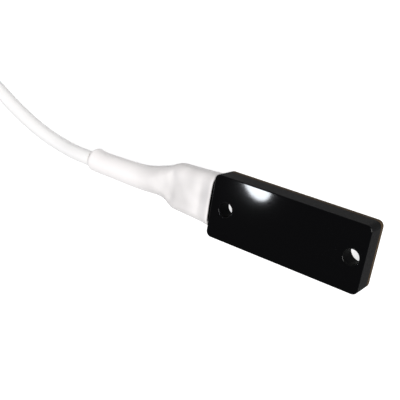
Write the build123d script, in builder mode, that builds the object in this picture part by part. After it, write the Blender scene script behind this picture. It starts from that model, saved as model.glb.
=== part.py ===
"""Surface-mounted magnetic door contact: a reed switch sealed in a flat moulded housing, with a lead.

The sensor lies on its mounting face. Origin: centre of the mounting face. +Z: out of the front
face. The lead leaves at -X. Units: millimetres.
"""

from build123d import *
import math
import os

os.makedirs("parts", exist_ok=True)

# ---- Housing: driving sizes -------------------------------------------------------------------
body_length = 50.0
body_width = 20.0
body_height = 8.2
corner_r = 1.8  # the four upright edges
face_edge_r = 0.4  # round along the front face
front_wall = 1.3
side_wall = 1.5
cover_t = 1.8  # back cover
cover_edge = 0.3  # chamfer along the mounting face
seam_edge = 0.15  # chamfers that make the joint line between housing and cover

# ---- Screw holes, for M4 screws ---------------------------------------------------------------
hole_d = 4.5
hole_rim = 0.3  # round at the mouth of each hole
hole_to_lead_end = 5.4  # hole centre to the end where the lead leaves
hole_to_far_end = 4.05
boss_wall = 1.5
boss_rib = 3.0  # web that ties each boss to its end wall
bore_lead = 1.0  # 45 degree lead at the back end of each bore
cover_hole_gap = 0.05  # the holes in the cover clear the lead by this much
cover_land = 0.4  # cover left outside a hole, where it is widest

# ---- Neck that carries the sleeve -------------------------------------------------------------
neck_length = 16.0
neck_width_mouth = 12.4
neck_height = 6.2
neck_corner_r = 2.2
neck_wall = 0.8
neck_y = 0.6  # the lead leaves a little off the centreline
wire_slot_w = 1.6  # two slots let the cores pass on either side of the screw boss
wire_slot_h = 3.0
wire_slot_gap = 0.35  # between a slot and the boss
neck_slot_gap = 0.1  # between a slot and the inside of the neck
plug_length = 4.0  # resin plug in the mouth of the neck

# ---- Cores ------------------------------------------------------------------------------------
core_d = 1.2
conductor_d = 0.5
core_pitch = 1.3  # centre to centre, where two cores lie side by side
core_step = 1.7  # length over which a core moves sideways, past the boss
core_to_board = 0.3  # the cores are level with the board's top this far before it
core_bend_r = 3.0
neck_core_run = 1.0  # straight run between the resin plug and the fan of the cores
slot_core_run = 2.5  # and before the slots

# ---- Board and reed switch --------------------------------------------------------------------
board_to_near_boss = 3.95  # clear of the screw bosses
board_to_far_boss = 2.1
board_edge = 0.22  # board outside the solder of the core pads
board_t = 0.8
board_drop = 1.28  # underside of the board, below the middle of the housing
pad_inset = 3.2  # core pads, from the end of the board near the lead
strip_length = 1.8  # bare conductor on the board
solder_d = 1.8
pad_solder_d = 1.2  # on the pads of the cores
solder_top_d = 0.9
solder_h = 0.9
leg_solder_h = 0.5  # around the legs of the reed switch
resistor_l = 3.2
resistor_w = 1.6
resistor_t = 0.6
resistor_cap = 0.5
resistor_edge = 2.0  # middle of the resistors, from the edge of the board
rail_start = 7.0  # ledges that hold the board's long edges, from the end near the lead
rail_grip = 0.4  # how far they reach over the board

reed_d = 2.2
reed_length = 14.0
reed_wall = 0.35
reed_seal = 1.6  # solid glass at each end
reed_lift = 0.05  # glass above the board
reed_lead_d = 0.5
reed_lead_reach = 2.2  # lead outside the glass, to the middle of its leg
reed_lead_bend = 0.6
reed_end_r = 0.5
lead_inside = 0.4  # lead past the seal, where the blade starts
blade_w = 1.0
blade_t = 0.2
blade_gap = 0.1  # between the two blades, contacts open
blade_lap = 1.0
blade_root_gap = 0.03

# ---- Sleeve over the neck and the lead --------------------------------------------------------
sleeve_wall = 0.6
sleeve_start = 0.6  # gap between the housing and the cut end of the sleeve
glue_t = 0.8  # hot-melt lining between the lead and the sleeve
glue_to_bend = 5.0  # the lining stops this far before the bend of the lead
sleeve_taper = 0.3  # the round part is this much wider where it starts
sleeve_round_run = 12.0  # from the mouth of the neck to where the sleeve is round
sleeve_waist_run = 5.5  # and to the waist
sleeve_waist_w = 9.8
sleeve_waist_h = 7.6
sleeve_waist_y = 0.3
lead_straight = 4.5  # of the lead where it meets the neck
fit_gap = 0.05  # clearance between pieces that are slipped over each other
wire_gap = 0.02

# ---- Cable ------------------------------------------------------------------------------------
cable_d = 5.2
floor_gap = 0.02
route = [  # centre line of the free cable, from the sleeve to the hank
    (-78.3, -1.2, 4.05),
    (-85.5, -1.36, 4.0),
    (-94.8, -1.0, 2.75),
    (-104.5, 0.6, 2.62),
    (-114.5, 3.5, 2.62),
    (-125.0, 7.6, 2.62),
    (-136.0, 12.8, 2.62),
    (-147.2, 17.4, 2.7),
    (-158.0, 20.3, 2.95),
    (-169.0, 20.9, 3.05),
]

# ---- Hank: four turns of the cable, two wide and two high --------------------------------------
hank_x = -190.5
hank_run = 48.6  # straight part of each turn
hank_inner_lane_r = 15.6  # centre line of the inner turns at the ends
hank_lanes = 2
hank_layers = 2
tie_t = 0.4
tie_w = 4.0
tie_twist_d = 1.6
tie_twist_l = 9.0
tie_x = 12.0  # along the hank, from its middle towards the sensor

# ---- Bared end --------------------------------------------------------------------------------
tail = [  # centre line from the inner turn to the end of the jacket
    (-214.0, -15.6, 3.0),
    (-206.0, -14.7, 2.9),
    (-198.5, -12.3, 2.75),
    (-191.5, -8.9, 2.62),
    (-185.0, -5.8, 2.62),
]
tail_core_length = 15.0
tail_core_angle = 6.0  # degrees, half of what lies between neighbours
ferrule_collar_d = 2.2
ferrule_collar_l = 4.0
ferrule_pin_d = 1.0
ferrule_pin_l = 6.0
ferrule_overlap = 2.0  # of the collar on the core

# ---- Places that follow from the sizes above ---------------------------------------------------
lead_end_x = -body_length / 2
far_end_x = body_length / 2
hole_near_x = lead_end_x + hole_to_lead_end
hole_far_x = far_end_x - hole_to_far_end
boss_d = hole_d + 2 * boss_wall
cover_hole_r = hole_d / 2 + bore_lead + cover_hole_gap
inner_top = body_height - front_wall
inner_length = body_length - 2 * side_wall
inner_width = body_width - 2 * side_wall
inner_corner_r = max(corner_r - side_wall, 0.3)
mid_z = body_height / 2
neck_mouth_x = lead_end_x - neck_length
wire_slot_y = boss_d / 2 + wire_slot_gap + wire_slot_w / 2
neck_width_root = 2 * (wire_slot_y + wire_slot_w / 2 + abs(neck_y) + neck_slot_gap + neck_wall)
board_width = 2 * (wire_slot_y + core_pitch / 2 + pad_solder_d / 2 + board_edge)
sleeve_end_d = cable_d + 2 * (glue_t + sleeve_wall)
sleeve_round_d = sleeve_end_d + sleeve_taper
sleeve_round_x = neck_mouth_x - sleeve_round_run
sleeve_waist_x = neck_mouth_x - sleeve_waist_run
board_z = mid_z - board_drop
board_top = board_z + board_t
resistor_y = board_width / 2 - resistor_edge
board_near_x = hole_near_x + boss_d / 2 + board_to_near_boss
board_far_x = hole_far_x - boss_d / 2 - board_to_far_boss
board_length = board_far_x - board_near_x
board_x = (board_near_x + board_far_x) / 2
reed_x = board_x
reed_z = board_top + reed_lift + reed_d / 2
pad_x = board_near_x + pad_inset
lead_pad_z = board_top + conductor_d / 2 + wire_gap
core_end_x = pad_x - strip_length + conductor_d
hank_outer_lane_r = hank_inner_lane_r + (hank_lanes - 1) * cable_d
hank_outer_r = hank_outer_lane_r + cable_d / 2
hank_inner_r = hank_inner_lane_r - cable_d / 2
hank_height = hank_layers * cable_d


def corner_radii(points):
    """The largest arc that each corner of a route allows."""
    radii = []
    for before, corner, after in zip(points, points[1:], points[2:]):
        run_in = Vector(*corner) - Vector(*before)
        run_out = Vector(*after) - Vector(*corner)
        half_turn = math.radians(run_in.get_angle(run_out)) / 2
        radii.append(0.45 * min(run_in.length, run_out.length) / math.tan(half_turn))
    return radii


def start_plane(line):
    """The plane across the start of a path."""
    return Plane(origin=line @ 0, z_dir=line % 0)


def neck_width_at(x):
    """Width of the neck at a station between its root and its mouth."""
    share = (lead_end_x - x) / neck_length
    return neck_width_root + share * (neck_width_mouth - neck_width_root)


# ================================ Housing =======================================================

with BuildPart() as housing:
    with BuildSketch(Plane.XY.offset(cover_t)):
        RectangleRounded(body_length, body_width, corner_r)
    extrude(amount=body_height - cover_t)
    front_face = housing.faces().sort_by(Axis.Z)[-1]
    fillet(front_face.outer_wire().edges(), face_edge_r)
    back_rim = housing.faces().sort_by(Axis.Z)[0]
    chamfer(back_rim.outer_wire().edges(), seam_edge)
    with BuildSketch(Plane.XY.offset(cover_t)):
        RectangleRounded(inner_length, inner_width, inner_corner_r)
    extrude(amount=inner_top - cover_t, mode=Mode.SUBTRACT)
    # screw bosses, each with a web to its end wall
    with BuildSketch(Plane.XY.offset(cover_t)):
        with Locations((hole_near_x, 0), (hole_far_x, 0)):
            Circle(boss_d / 2)
        with Locations((lead_end_x + side_wall, 0)):
            Rectangle(hole_to_lead_end - side_wall, boss_rib, align=(Align.MIN, Align.CENTER))
        with Locations((far_end_x - side_wall, 0)):
            Rectangle(hole_to_far_end - side_wall, boss_rib, align=(Align.MAX, Align.CENTER))
    extrude(amount=inner_top - cover_t)
    # ledges over the long edges of the board
    rail_length = board_length - rail_start
    rail_reach = inner_width / 2 - board_width / 2 + rail_grip
    with BuildSketch(Plane.XY.offset(board_top)):
        for side in (-1, 1):
            with Locations((board_far_x - rail_length / 2, side * (inner_width - rail_reach) / 2)):
                Rectangle(rail_length, rail_reach)
    extrude(amount=inner_top - board_top)
    # neck
    with BuildSketch(Plane(origin=(lead_end_x, neck_y, mid_z), x_dir=(0, 1, 0), z_dir=(-1, 0, 0))):
        RectangleRounded(neck_width_root, neck_height, neck_corner_r)
    with BuildSketch(Plane(origin=(neck_mouth_x, neck_y, mid_z), x_dir=(0, 1, 0), z_dir=(-1, 0, 0))):
        RectangleRounded(neck_width_mouth, neck_height, neck_corner_r)
    loft()
    inner_r = neck_corner_r - neck_wall
    with BuildSketch(Plane(origin=(lead_end_x, neck_y, mid_z), x_dir=(0, 1, 0), z_dir=(-1, 0, 0))):
        RectangleRounded(neck_width_root - 2 * neck_wall, neck_height - 2 * neck_wall, inner_r)
    with BuildSketch(Plane(origin=(neck_mouth_x, neck_y, mid_z), x_dir=(0, 1, 0), z_dir=(-1, 0, 0))):
        RectangleRounded(neck_width_mouth - 2 * neck_wall, neck_height - 2 * neck_wall, inner_r)
    loft(mode=Mode.SUBTRACT)
    # slots for the cores through the end wall
    with BuildSketch(Plane(origin=(lead_end_x, 0, mid_z), x_dir=(0, 1, 0), z_dir=(1, 0, 0))):
        with Locations((-wire_slot_y, 0), (wire_slot_y, 0)):
            RectangleRounded(wire_slot_w, wire_slot_h, wire_slot_w / 2 - wire_gap)
    extrude(amount=side_wall, mode=Mode.SUBTRACT)
    # screw holes
    with BuildSketch(Plane.XY.offset(cover_t)):
        with Locations((hole_near_x, 0), (hole_far_x, 0)):
            Circle(hole_d / 2)
    extrude(amount=body_height - cover_t, mode=Mode.SUBTRACT)
    with Locations((hole_near_x, 0, cover_t), (hole_far_x, 0, cover_t)):
        Cone(hole_d / 2 + bore_lead, hole_d / 2, bore_lead,
             align=(Align.CENTER, Align.CENTER, Align.MIN), mode=Mode.SUBTRACT)
    rims = housing.edges().filter_by(GeomType.CIRCLE).group_by(Axis.Z)[-1]
    fillet(rims.filter_by(lambda e: abs(e.radius - hole_d / 2) < wire_gap), hole_rim)
housing.part.label = "housing"
export_step(housing.part, "parts/housing.step")

with BuildPart() as back_cover:
    with BuildSketch():
        RectangleRounded(body_length, body_width, corner_r)
    extrude(amount=cover_t)
    chamfer(back_cover.faces().sort_by(Axis.Z)[0].outer_wire().edges(), cover_edge)
    chamfer(back_cover.faces().sort_by(Axis.Z)[-1].outer_wire().edges(), seam_edge)
    # each hole widens towards the mounting face, as far as its end of the cover allows
    for hole_x, end_room in ((hole_near_x, hole_to_lead_end), (hole_far_x, hole_to_far_end)):
        with Locations((hole_x, 0, 0)):
            Cone(end_room - cover_edge - cover_land, cover_hole_r, cover_t,
                 align=(Align.CENTER, Align.CENTER, Align.MIN), mode=Mode.SUBTRACT)
back_cover.part.label = "back_cover"
export_step(back_cover.part, "parts/back_cover.step")

with BuildPart() as potting_fill:
    with BuildSketch(Plane.XY.offset(cover_t)):
        clear = 2 * fit_gap
        RectangleRounded(inner_length - clear, inner_width - clear, inner_corner_r)
        with Locations((hole_near_x, 0), (hole_far_x, 0)):
            Circle(boss_d / 2 + fit_gap, mode=Mode.SUBTRACT)
        with Locations((lead_end_x + side_wall, 0)):
            Rectangle(hole_to_lead_end - side_wall, boss_rib + clear,
                      align=(Align.MIN, Align.CENTER), mode=Mode.SUBTRACT)
        with Locations((far_end_x - side_wall, 0)):
            Rectangle(hole_to_far_end - side_wall, boss_rib + clear,
                      align=(Align.MAX, Align.CENTER), mode=Mode.SUBTRACT)
    extrude(amount=board_z - cover_t)
potting_fill.part.label = "potting_fill"
export_step(potting_fill.part, "parts/potting_fill.step")

# ================================ Board and what it carries =====================================

with BuildPart() as circuit_board:
    with BuildSketch(Plane.XY.offset(board_z)):
        with Locations((board_x, 0)):
            Rectangle(board_length, board_width)
        # the board stops short of the far boss
        with Locations((hole_far_x, 0)):
            Circle(boss_d / 2 + fit_gap, mode=Mode.SUBTRACT)
    extrude(amount=board_t)
circuit_board.part.label = "circuit_board"
export_step(circuit_board.part, "parts/circuit_board.step")

leg_x = reed_length / 2 + reed_lead_reach  # legs of the reed switch, from its middle
seal_x = reed_length / 2 - reed_seal
root_x = seal_x - lead_inside  # where each blade starts to flex

with BuildPart() as reed_glass:
    with BuildSketch(Plane(origin=(reed_x - reed_length / 2, 0, reed_z), z_dir=(1, 0, 0))):
        Circle(reed_d / 2)
    extrude(amount=reed_length)
    fillet(reed_glass.edges().filter_by(GeomType.CIRCLE), reed_end_r)
    with BuildSketch(Plane(origin=(reed_x - seal_x, 0, reed_z), z_dir=(1, 0, 0))):
        Circle(reed_d / 2 - reed_wall)
    extrude(amount=2 * seal_x, mode=Mode.SUBTRACT)
    with BuildSketch(Plane(origin=(reed_x - reed_length / 2, 0, reed_z), z_dir=(1, 0, 0))):
        Circle(reed_lead_d / 2 + wire_gap)
    extrude(amount=reed_length, mode=Mode.SUBTRACT)
reed_glass.part.label = "reed_glass"
export_step(reed_glass.part, "parts/reed_glass.step")

for side, name in ((-1, "near"), (1, "far")):
    with BuildPart() as reed_lead:
        with BuildLine() as lead_line:
            FilletPolyline(
                (reed_x + side * (root_x + blade_root_gap), 0, reed_z),
                (reed_x + side * leg_x, 0, reed_z),
                (reed_x + side * leg_x, 0, board_top),
                radius=reed_lead_bend,
            )
        with BuildSketch(start_plane(lead_line.line)):
            Circle(reed_lead_d / 2)
        sweep()
    reed_lead.part.label = f"reed_lead_{name}"
    export_step(reed_lead.part, f"parts/reed_lead_{name}.step")

    # each blade is rounded about the line that it flexes on
    blade_reach = root_x + blade_lap / 2
    blade_z = reed_z + side * (blade_gap + blade_t) / 2
    with BuildPart() as reed_blade:
        with BuildSketch(Plane(origin=(reed_x + side * root_x, -blade_w / 2, blade_z),
                               x_dir=(-side, 0, 0), z_dir=(0, side, 0))):
            Circle(blade_t / 2)
            with Locations((blade_reach / 2, 0)):
                Rectangle(blade_reach, blade_t)
        extrude(amount=side * blade_w)
    reed_blade.part.label = f"reed_blade_{name}"
    export_step(reed_blade.part, f"parts/reed_blade_{name}.step")

pad_rows = [side * (wire_slot_y + place * core_pitch / 2) for side in (-1, 1) for place in (-1, 1)]

with BuildPart() as solder_joints:
    with Locations(*[(pad_x, y, board_top) for y in pad_rows]):
        Cone(pad_solder_d / 2, solder_top_d / 2, solder_h,
             align=(Align.CENTER, Align.CENTER, Align.MIN))
    with Locations(*[(reed_x + side * leg_x, 0, board_top) for side in (-1, 1)]):
        Cone(solder_d / 2, solder_top_d / 2, leg_solder_h,
             align=(Align.CENTER, Align.CENTER, Align.MIN))
        Cylinder(reed_lead_d / 2, leg_solder_h,
                 align=(Align.CENTER, Align.CENTER, Align.MIN), mode=Mode.SUBTRACT)
    with Locations(*[Pos(pad_x - solder_d, y, lead_pad_z) * Rot(0, 90, 0) for y in pad_rows]):
        Cylinder(conductor_d / 2, solder_d,
                 align=(Align.CENTER, Align.CENTER, Align.MIN), mode=Mode.SUBTRACT)
solder_joints.part.label = "solder_joints"
export_step(solder_joints.part, "parts/solder_joints.step")

resistor_x = [reed_x - resistor_l, reed_x + resistor_l]
with BuildPart() as resistor_bodies:
    with Locations(*[(x, resistor_y, board_top) for x in resistor_x]):
        Box(resistor_l - 2 * resistor_cap, resistor_w, resistor_t,
            align=(Align.CENTER, Align.CENTER, Align.MIN))
resistor_bodies.part.label = "resistor_bodies"
export_step(resistor_bodies.part, "parts/resistor_bodies.step")

with BuildPart() as resistor_end_caps:
    for end in (-1, 1):
        shift = end * (resistor_l - resistor_cap) / 2
        with Locations(*[(x + shift, resistor_y, board_top) for x in resistor_x]):
            Box(resistor_cap, resistor_w, resistor_t,
                align=(Align.CENTER, Align.CENTER, Align.MIN))
resistor_end_caps.part.label = "resistor_end_caps"
export_step(resistor_end_caps.part, "parts/resistor_end_caps.step")

# ================================ Lead inside the sleeve ========================================

exit_run = (Vector(*route[0]) - Vector(*route[1])).normalized()
lead_bend = Vector(*route[0]) + exit_run * ((sleeve_round_x - route[0][0]) / exit_run.X)
stub = [
    (neck_mouth_x - fit_gap, neck_y, mid_z),
    (neck_mouth_x - lead_straight, neck_y, mid_z),
    tuple(lead_bend),
    route[0],
]
bundle = core_pitch / 2 + fit_gap  # half the pitch of the four cores in the jacket
plug_x = neck_mouth_x + plug_length

with BuildPart() as lead_in_sleeve:
    with BuildLine() as stub_line:
        FilletPolyline(*stub, radius=corner_radii(stub))
    with BuildSketch(start_plane(stub_line.line)):
        Circle(cable_d / 2)
    sweep()
lead_in_sleeve.part.label = "lead_in_sleeve"
export_step(lead_in_sleeve.part, "parts/lead_in_sleeve.step")

with BuildPart() as neck_resin:
    with BuildSketch(Plane(origin=(neck_mouth_x + fit_gap, neck_y, mid_z),
                           x_dir=(0, 1, 0), z_dir=(1, 0, 0))):
        RectangleRounded(neck_width_mouth - 2 * (neck_wall + fit_gap),
                         neck_height - 2 * (neck_wall + fit_gap), neck_corner_r - neck_wall)
        with GridLocations(2 * bundle, 2 * bundle, 2, 2):
            Circle(core_d / 2 + wire_gap, mode=Mode.SUBTRACT)
    extrude(amount=plug_length)
neck_resin.part.label = "neck_resin"
export_step(neck_resin.part, "parts/neck_resin.step")

core_colours = ("white", "brown", "green", "yellow")
past_boss_x = hole_near_x + boss_d / 2
for place, colour in enumerate(core_colours):
    side = -1 if place < 2 else 1  # two cores pass on each side of the boss
    level = -1 if place % 2 else 1
    pad_y = pad_rows[place]
    route_in = [
        (neck_mouth_x + fit_gap, neck_y + side * bundle, mid_z + level * bundle),
        (plug_x + neck_core_run, neck_y + side * bundle, mid_z + level * bundle),
        (lead_end_x - slot_core_run, side * wire_slot_y, mid_z + level * core_pitch / 2),
        (past_boss_x, side * wire_slot_y, mid_z + level * core_pitch / 2),
        (past_boss_x + core_step, pad_y, mid_z + level * core_pitch / 2),
        (board_near_x - core_to_board, pad_y, board_top + core_d / 2 + wire_gap),
        (core_end_x, pad_y, board_top + core_d / 2 + wire_gap),
    ]
    with BuildPart() as core:
        with BuildLine() as core_line:
            FilletPolyline(*route_in, radius=[min(r, core_bend_r) for r in corner_radii(route_in)])
        with BuildSketch(start_plane(core_line.line)):
            Circle(core_d / 2)
        sweep()
    core.part.label = f"core_{colour}"
    export_step(core.part, f"parts/core_{colour}.step")

with BuildPart() as core_tips:
    with Locations(*[Pos(core_end_x, y, lead_pad_z) * Rot(0, 90, 0) for y in pad_rows]):
        Cylinder(conductor_d / 2, pad_x - core_end_x,
                 align=(Align.CENTER, Align.CENTER, Align.MIN))
core_tips.part.label = "core_tips"
export_step(core_tips.part, "parts/core_tips.step")

# ================================ Sleeve ========================================================

sleeve_near_x = lead_end_x - sleeve_start
stations = [  # x, y, z, width and height outside
    (sleeve_near_x, neck_y, mid_z, neck_width_at(sleeve_near_x), neck_height),
    (neck_mouth_x, neck_y, mid_z, neck_width_mouth, neck_height),
]
growth = 2 * (sleeve_wall + fit_gap)
stations = [(x, y, z, w + growth, h + growth) for x, y, z, w, h in stations]
stations_on_neck = len(stations)
stations += [
    (sleeve_waist_x, sleeve_waist_y, mid_z, sleeve_waist_w, sleeve_waist_h),
    (lead_bend.X, lead_bend.Y, lead_bend.Z, sleeve_round_d, sleeve_round_d),
    (*route[0], sleeve_end_d, sleeve_end_d),
]
round_share = 0.98  # corner radius of the round sections, as a share of half their size


with BuildPart() as heat_shrink_sleeve:
    for wall, mode in ((0.0, Mode.ADD), (sleeve_wall, Mode.SUBTRACT)):
        for place, (x, y, z, width, height) in enumerate(stations):
            width_in = width - 2 * wall
            height_in = height - 2 * wall
            radius = neck_corner_r + sleeve_wall + fit_gap - wall
            if place >= stations_on_neck:
                radius = round_share * height_in / 2
            with BuildSketch(Plane(origin=(x, y, z), x_dir=(0, 1, 0), z_dir=(-1, 0, 0))):
                RectangleRounded(width_in, height_in, radius)
        loft(ruled=True, mode=mode)
heat_shrink_sleeve.part.label = "heat_shrink_sleeve"
export_step(heat_shrink_sleeve.part, "parts/heat_shrink_sleeve.step")

sleeve_bore_end = sleeve_end_d - 2 * sleeve_wall
with BuildPart() as sleeve_glue:
    with BuildSketch(Plane(origin=Vector(*route[0]) + exit_run * fit_gap, z_dir=exit_run)):
        Circle(round_share * sleeve_bore_end / 2 - fit_gap)
        Circle(cable_d / 2 + fit_gap, mode=Mode.SUBTRACT)
    extrude(amount=(lead_bend - Vector(*route[0])).length - glue_to_bend)
sleeve_glue.part.label = "sleeve_glue"
export_step(sleeve_glue.part, "parts/sleeve_glue.step")

# ================================ Free cable ====================================================

for name, points in (("cable_jacket", route), ("cable_tail", tail)):
    radii = corner_radii(points)
    print(name, "corner radii in cable diameters:", [round(r / cable_d, 1) for r in radii])
    with BuildPart() as cable:
        with BuildLine() as cable_line:
            FilletPolyline(*points, radius=radii)
        with BuildSketch(start_plane(cable_line.line)):
            Circle(cable_d / 2)
        sweep()
    length = sum(edge.length for edge in cable_line.edges())
    filled = cable.part.volume / (math.pi * cable_d**2 / 4 * length)
    print(name, "length:", round(length, 1), "volume over section times length:", round(filled, 4))
    cable.part.label = name
    export_step(cable.part, f"parts/{name}.step")

with BuildPart() as cable_hank:
    with BuildSketch(Plane.XY.offset(tie_t)):
        with Locations((hank_x, 0)):
            SlotCenterToCenter(hank_run, 2 * hank_outer_r)
            SlotCenterToCenter(hank_run, 2 * hank_inner_r, mode=Mode.SUBTRACT)
    extrude(amount=hank_height)
    fillet(cable_hank.edges().filter_by(lambda e: e.length > hank_run / 2), cable_d / 2 - fit_gap)
cable_hank.part.label = "cable_hank"
export_step(cable_hank.part, "parts/cable_hank.step")

bundle_w = hank_lanes * cable_d + 2 * fit_gap
bundle_y = (hank_outer_r + hank_inner_r) / 2
tie_top = hank_height + 2 * tie_t
tie_near_x = hank_x + tie_x
for side, name in ((-1, "front"), (1, "rear")):
    with BuildPart() as tie:
        with BuildSketch(Plane(origin=(tie_near_x, side * bundle_y, tie_top / 2),
                               x_dir=(0, 1, 0), z_dir=(-1, 0, 0))):
            RectangleRounded(bundle_w + 2 * tie_t, tie_top, cable_d / 2 + tie_t)
            RectangleRounded(bundle_w, hank_height + 2 * fit_gap, cable_d / 2, mode=Mode.SUBTRACT)
        extrude(amount=tie_w)
        # the twisted ends of the tie lie along the hank
        twist_z = tie_top + tie_twist_d / 2 - tie_t
        with BuildSketch(Plane(origin=(tie_near_x, side * bundle_y, twist_z), z_dir=(-1, 0, 0))):
            Circle(tie_twist_d / 2)
        extrude(amount=tie_twist_l)
    tie.part.label = f"hank_tie_{name}"
    export_step(tie.part, f"parts/hank_tie_{name}.step")

# ================================ Bared end =====================================================

jacket_end = Vector(*tail[-1])
tail_heading = math.degrees(math.atan2(tail[-1][1] - tail[-2][1], tail[-1][0] - tail[-2][0]))
ferrule_z = ferrule_collar_d / 2 + floor_gap
fan = [  # place in the jacket across and up, and heading from the cable's own
    (-1, -1, -3 * tail_core_angle),
    (-1, 1, -tail_core_angle),
    (1, 1, tail_core_angle),
    (1, -1, 3 * tail_core_angle),
]
drop_start = {-1: 0.2, 1: 0.35}  # share of a core's length where it begins to drop, by row
drop_end = {-1: 0.5, 1: 0.75}
ferrule_planes = []
for colour, (across, up, angle) in zip(core_colours, fan):
    lie = Plane(origin=jacket_end, x_dir=(1, 0, 0), z_dir=(0, 0, 1)).rotated((0, 0, tail_heading))
    start = lie.from_local_coords(Vector(0, across * bundle, up * bundle))
    run = Vector(1, 0, 0).rotate(Axis.Z, tail_heading + angle)
    first = Vector(1, 0, 0).rotate(Axis.Z, tail_heading)
    down = Vector(0, 0, ferrule_z - start.Z)
    corner = start + first * (drop_start[up] * tail_core_length / 2)
    points = [
        start,
        corner,
        corner + run * (drop_start[up] * tail_core_length / 2),
        corner + run * ((drop_end[up] - drop_start[up] / 2) * tail_core_length) + down,
        corner + run * ((1 - drop_start[up] / 2) * tail_core_length) + down,
    ]
    with BuildPart() as tail_core:
        with BuildLine() as tail_line:
            FilletPolyline(*points, radius=[min(r, 2 * core_bend_r) for r in corner_radii(points)])
        with BuildSketch(start_plane(tail_line.line)):
            Circle(core_d / 2)
        sweep()
    tail_core.part.label = f"tail_core_{colour}"
    export_step(tail_core.part, f"parts/tail_core_{colour}.step")
    ferrule_planes.append(Plane(origin=points[-1] - run * ferrule_overlap, z_dir=run))

with BuildPart() as ferrule_collars:
    with BuildSketch(*ferrule_planes):
        Circle(ferrule_collar_d / 2)
        Circle(core_d / 2 + wire_gap, mode=Mode.SUBTRACT)
    extrude(amount=ferrule_collar_l)
ferrule_collars.part.label = "ferrule_collars"
export_step(ferrule_collars.part, "parts/ferrule_collars.step")

pin_planes = [plane.offset(ferrule_overlap + wire_gap) for plane in ferrule_planes]
with BuildPart() as ferrule_pins:
    with BuildSketch(*pin_planes):
        Circle(ferrule_pin_d / 2)
    extrude(amount=ferrule_pin_l)
ferrule_pins.part.label = "ferrule_pins"
export_step(ferrule_pins.part, "parts/ferrule_pins.step")
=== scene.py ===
"""Finish of a surface-mounted magnetic door contact.

A flat black housing lies on its mounting face. A white heat-shrink sleeve covers its neck and the start
of the lead, which runs to a hank that two wire ties hold. Lengths are in metres, in the frame of the
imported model.
"""

import math

import bpy
from mathutils import Matrix, Vector


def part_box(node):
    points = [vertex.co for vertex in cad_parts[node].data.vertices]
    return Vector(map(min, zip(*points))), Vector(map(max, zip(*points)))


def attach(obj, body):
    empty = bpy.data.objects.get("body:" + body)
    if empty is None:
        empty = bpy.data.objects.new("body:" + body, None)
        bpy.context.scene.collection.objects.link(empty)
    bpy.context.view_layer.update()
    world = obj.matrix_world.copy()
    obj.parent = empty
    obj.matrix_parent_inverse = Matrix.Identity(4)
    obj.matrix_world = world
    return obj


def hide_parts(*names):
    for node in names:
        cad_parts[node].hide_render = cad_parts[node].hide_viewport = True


bl_info = {
    "name": "Door contact sensor",
    "version": (1, 0, 0),
    "blender": (4, 5, 0),
    "location": "View3D > Sidebar > Contact",
    "description": "Finishes, sleeve, lead and studio for a surface-mounted door contact",
    "category": "Object",
}

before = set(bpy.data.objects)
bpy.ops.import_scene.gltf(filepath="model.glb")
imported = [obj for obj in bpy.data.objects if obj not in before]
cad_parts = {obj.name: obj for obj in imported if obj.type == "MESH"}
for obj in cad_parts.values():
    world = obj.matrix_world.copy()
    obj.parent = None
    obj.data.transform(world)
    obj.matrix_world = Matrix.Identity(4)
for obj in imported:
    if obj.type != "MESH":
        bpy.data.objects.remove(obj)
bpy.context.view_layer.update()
MM = 0.001

# Places that the frame gives
HOUSING_LOW, HOUSING_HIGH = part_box("housing")
COVER_LOW, COVER_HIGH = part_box("back_cover")
HANK_LOW, HANK_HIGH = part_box("cable_hank")
HANK_X = (HANK_LOW.x + HANK_HIGH.x) / 2
FRONT_Z = HOUSING_HIGH.z
MID_Z = FRONT_Z / 2
NECK_MOUTH_X = HOUSING_LOW.x
LEAD_END_X = COVER_LOW.x
SEAM_Z = COVER_HIGH.z  # where the back cover meets the housing

# Holes, walls and neck of the housing
HOLES_X = (-19.6 * MM, 20.95 * MM)
FRONT_WALL = 1.3 * MM
SIDE_WALL = 1.5 * MM
CORNER_R = 1.8 * MM
BOSS_R = 3.75 * MM
BOSS_RIB = 3.0 * MM  # web that ties each boss to its end wall
BORE_LEAD = 1.0 * MM  # widening at the back of each bore
COVER_HOLE_R = 3.3 * MM  # at the seam
COVER_MOUTHS_R = (4.7 * MM, 3.35 * MM)  # at the mounting face, for each hole
NECK_Y = 0.6 * MM
NECK_HEIGHT = 6.2 * MM
NECK_WIDTHS = (14.4 * MM, 12.4 * MM)  # where it leaves the housing, and at its mouth
NECK_R = 2.2 * MM
NECK_WALL = 0.8 * MM
SLOT_Y = 4.9 * MM  # slots for the cores, in the end wall
SLOT_WIDTH = 1.6 * MM
SLOT_HEIGHT = 3.0 * MM
PAST_FACE = 0.002 * MM  # how far the rim of a bore's cutter passes the front face

# How finely the meshes are made
CORNER_STEPS = 14
TOP_EDGE_STEPS = 6
BOTTOM_EDGE_STEPS = 3
RIM_STEPS = 5
TURNED_STEPS = 72
TUBE_STEPS = 96  # around the neck and the sleeve
NECK_RINGS = 8
NEAR = 0.01 * MM  # ends of an edge that are this close in height are level
TUBE_START_R = 4 * MM  # of a tube before its vertices are moved onto an outline
MOULDED_SMOOTH = 35  # angle in degrees up to which moulded pieces are shaded smooth

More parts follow.
